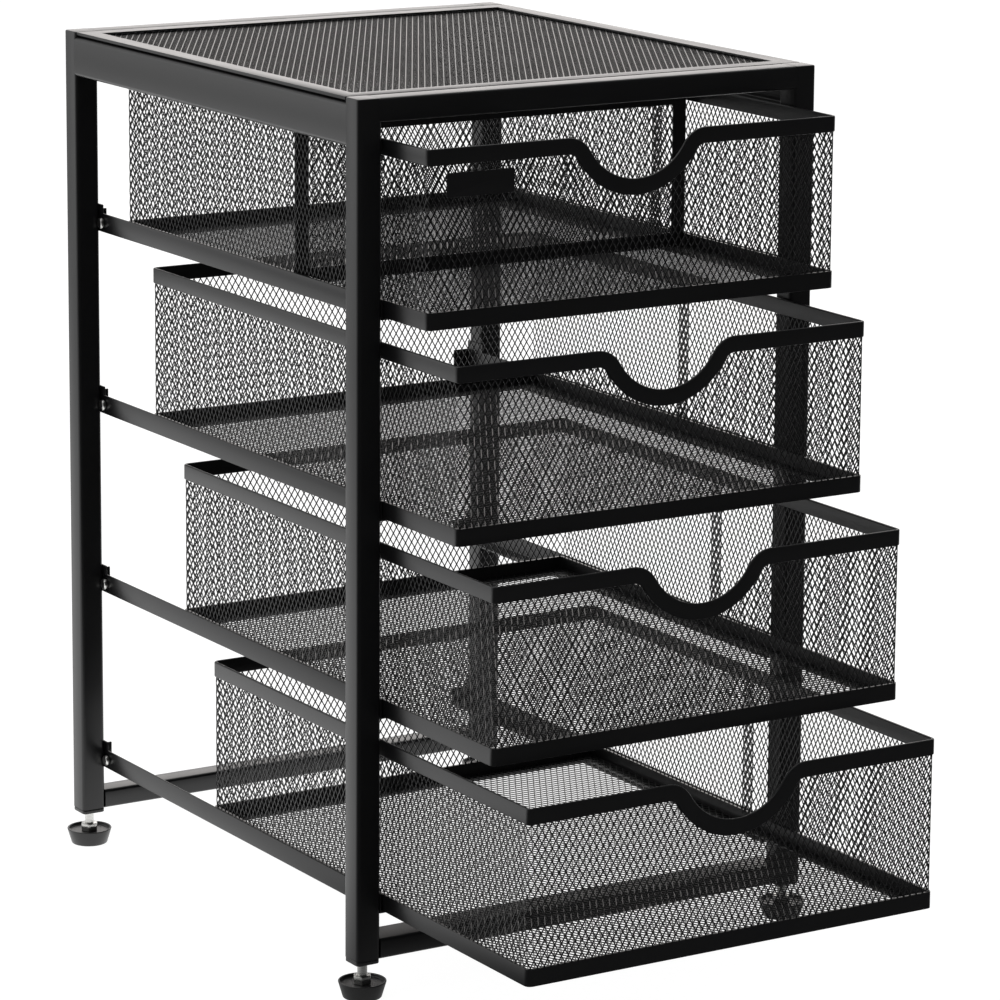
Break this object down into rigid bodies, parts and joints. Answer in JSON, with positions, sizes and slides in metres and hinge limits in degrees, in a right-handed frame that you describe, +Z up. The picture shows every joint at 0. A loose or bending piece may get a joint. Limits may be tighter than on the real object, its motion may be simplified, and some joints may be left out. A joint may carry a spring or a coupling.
{
  "type": "desktop mini drawers",
  "caption": "Black steel desktop organizer: square-tube frame with levelling feet and a mesh top, and open mesh drawers with scooped fronts on angle runners.",
  "frame": {"origin": "on the floor, under the middle of the box that holds the frame, its feet and the furthest drawer as it stands in the picture", "axes": "+X to the right across the front, the shortest way; -Y is the front, where the drawers come out; +Z up"},
  "size_m": [0.266, 0.4312, 0.429],
  "materials": {
    "black_steel": "satin black powder coat",
    "steel_mesh": "expanded steel mesh, satin black powder coat",
    "black_plastic": "moulded black plastic",
    "zinc_steel": "bright zinc plating"
  },
  "bodies": {
    "frame": {"post_front_left": "black_steel", "post_front_right": "black_steel", "post_back_left": "black_steel", "post_back_right": "black_steel", "post_end_plugs": "black_plastic", "top_rail_front": "black_steel", "top_rail_back": "black_steel", "top_rail_left": "black_steel", "top_rail_right": "black_steel", "bottom_bar_front": "black_steel", "bottom_bar_back": "black_steel", "top_panel_rim": "black_steel", "top_panel_mesh": "steel_mesh", "runner_1_left": "black_steel", "runner_1_right": "black_steel", "runner_2_left": "black_steel", "runner_2_right": "black_steel", "runner_3_left": "black_steel", "runner_3_right": "black_steel", "runner_4_left": "black_steel", "runner_4_right": "black_steel"},
    "drawer_1": {"drawer_1_top_rim": "black_steel", "drawer_1_bottom_rim": "black_steel", "drawer_1_front_mesh": "steel_mesh", "drawer_1_back_mesh": "steel_mesh", "drawer_1_left_mesh": "steel_mesh", "drawer_1_right_mesh": "steel_mesh", "drawer_1_floor_mesh": "steel_mesh", "drawer_1_divider_edging": "black_steel", "drawer_1_divider_mesh": "steel_mesh"},
    "drawer_2": {"drawer_2_top_rim": "black_steel", "drawer_2_bottom_rim": "black_steel", "drawer_2_front_mesh": "steel_mesh", "drawer_2_back_mesh": "steel_mesh", "drawer_2_left_mesh": "steel_mesh", "drawer_2_right_mesh": "steel_mesh", "drawer_2_floor_mesh": "steel_mesh"},
    "drawer_3": {"drawer_3_top_rim": "black_steel", "drawer_3_bottom_rim": "black_steel", "drawer_3_front_mesh": "steel_mesh", "drawer_3_back_mesh": "steel_mesh", "drawer_3_left_mesh": "steel_mesh", "drawer_3_right_mesh": "steel_mesh", "drawer_3_floor_mesh": "steel_mesh"},
    "drawer_4": {"drawer_4_top_rim": "black_steel", "drawer_4_bottom_rim": "black_steel", "drawer_4_front_mesh": "steel_mesh", "drawer_4_back_mesh": "steel_mesh", "drawer_4_left_mesh": "steel_mesh", "drawer_4_right_mesh": "steel_mesh", "drawer_4_floor_mesh": "steel_mesh"},
    "foot_front_left": {"foot_pad_front_left": "black_plastic", "foot_stud_front_left": "zinc_steel"},
    "foot_front_right": {"foot_pad_front_right": "black_plastic", "foot_stud_front_right": "zinc_steel"},
    "foot_back_left": {"foot_pad_back_left": "black_plastic", "foot_stud_back_left": "zinc_steel"},
    "foot_back_right": {"foot_pad_back_right": "black_plastic", "foot_stud_back_right": "zinc_steel"}
  },
  "joints": [
    {"name": "drawer_1_slide", "type": "slide", "parent": "frame", "child": "drawer_1", "axis": [0, -1, 0], "range_m": [-0.0379, 0.1621]},
    {"name": "drawer_2_slide", "type": "slide", "parent": "frame", "child": "drawer_2", "axis": [0, -1, 0], "range_m": [-0.0647, 0.1353]},
    {"name": "drawer_3_slide", "type": "slide", "parent": "frame", "child": "drawer_3", "axis": [0, -1, 0], "range_m": [-0.0965, 0.1035]},
    {"name": "drawer_4_slide", "type": "slide", "parent": "frame", "child": "drawer_4", "axis": [0, -1, 0], "range_m": [-0.1274, 0.0726]},
    {"name": "foot_front_left_turn", "type": "hinge", "parent": "frame", "child": "foot_front_left", "pos_m": [-0.12135, -0.08178, 0.019], "axis": [0, 0, 1], "continuous": true},
    {"name": "foot_front_right_turn", "type": "hinge", "parent": "frame", "child": "foot_front_right", "pos_m": [0.12135, -0.08178, 0.019], "axis": [0, 0, 1], "continuous": true},
    {"name": "foot_back_left_turn", "type": "hinge", "parent": "frame", "child": "foot_back_left", "pos_m": [-0.12135, 0.20392, 0.019], "axis": [0, 0, 1], "continuous": true},
    {"name": "foot_back_right_turn", "type": "hinge", "parent": "frame", "child": "foot_back_right", "pos_m": [0.12135, 0.20392, 0.019], "axis": [0, 0, 1], "continuous": true}
  ]
}
